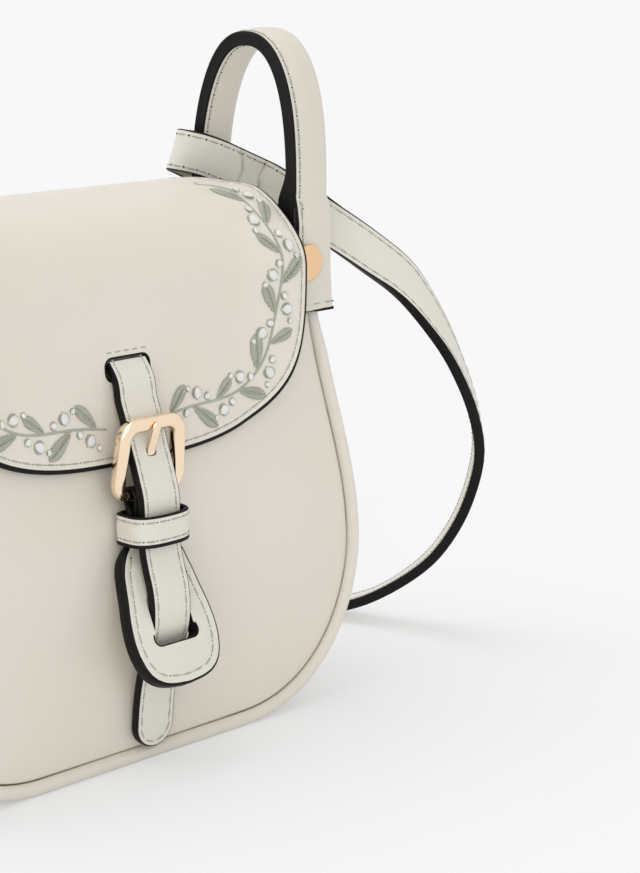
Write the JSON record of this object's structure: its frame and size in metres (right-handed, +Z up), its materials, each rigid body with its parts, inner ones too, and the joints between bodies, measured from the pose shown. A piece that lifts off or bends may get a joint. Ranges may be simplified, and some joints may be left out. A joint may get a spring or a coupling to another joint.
{
  "type": "flap crossbody bag",
  "caption": "Small piped leather crossbody bag with a rounded flap, buckled strap closure, arched side handles and a long shoulder strap.",
  "frame": {"origin": "middle of the flat base, on the surface the bag stands on", "axes": "+X to the right of the front face as seen from the front, +Y from the front to the back, +Z up"},
  "size_m": [0.331, 0.1775, 0.222],
  "materials": {
    "cream_leather": "satin",
    "pale_leather": "satin",
    "lining_fabric": "matte",
    "stiffener_board": "matte",
    "rose_gold": "polished"
  },
  "bodies": {
    "bag": {"front_panel": "cream_leather", "back_panel": "cream_leather", "gusset": "cream_leather", "front_piping": "cream_leather", "back_piping": "cream_leather", "front_lining": "lining_fabric", "back_lining": "lining_fabric", "gusset_lining": "lining_fabric", "base_board": "stiffener_board", "side_handle_right": "pale_leather", "side_handle_left": "pale_leather", "rivet_front_right": "rose_gold", "rivet_front_left": "rose_gold", "rivet_back_right": "rose_gold", "rivet_back_left": "rose_gold", "strap_end_right": "pale_leather", "strap_end_left": "pale_leather", "shoulder_strap": "pale_leather"},
    "flap_body": {"flap": "cream_leather", "flap_lining": "lining_fabric"},
    "closure": {"closure_strap": "pale_leather", "closure_tab": "pale_leather"},
    "frame": {"buckle_frame": "rose_gold"},
    "prong": {"buckle_prong": "rose_gold"},
    "keeper": {"keeper_loop": "pale_leather"}
  },
  "joints": [
    {"name": "flap_hinge", "type": "hinge", "parent": "bag", "child": "flap_body", "pos_m": [0, 0.0255, 0.1656], "axis": [-1, 0, 0], "range_deg": [0, 150]},
    {"name": "closure_hinge", "type": "hinge", "parent": "flap_body", "child": "closure", "pos_m": [0, -0.0287, 0.1249], "axis": [-1, 0, 0], "range_deg": [0, 60]},
    {"name": "frame_hinge", "type": "hinge", "parent": "closure", "child": "frame", "pos_m": [0, -0.0375, 0.0863], "axis": [1, 0, 0], "range_deg": [0, 3]},
    {"name": "prong_hinge", "type": "hinge", "parent": "frame", "child": "prong", "pos_m": [0, -0.0375, 0.0863], "axis": [1, 0, 0], "range_deg": [0, 4]},
    {"name": "keeper_slide", "type": "slide", "parent": "closure", "child": "keeper", "axis": [0, 0, 1], "range_m": [-0.002, 0.0005]}
  ]
}
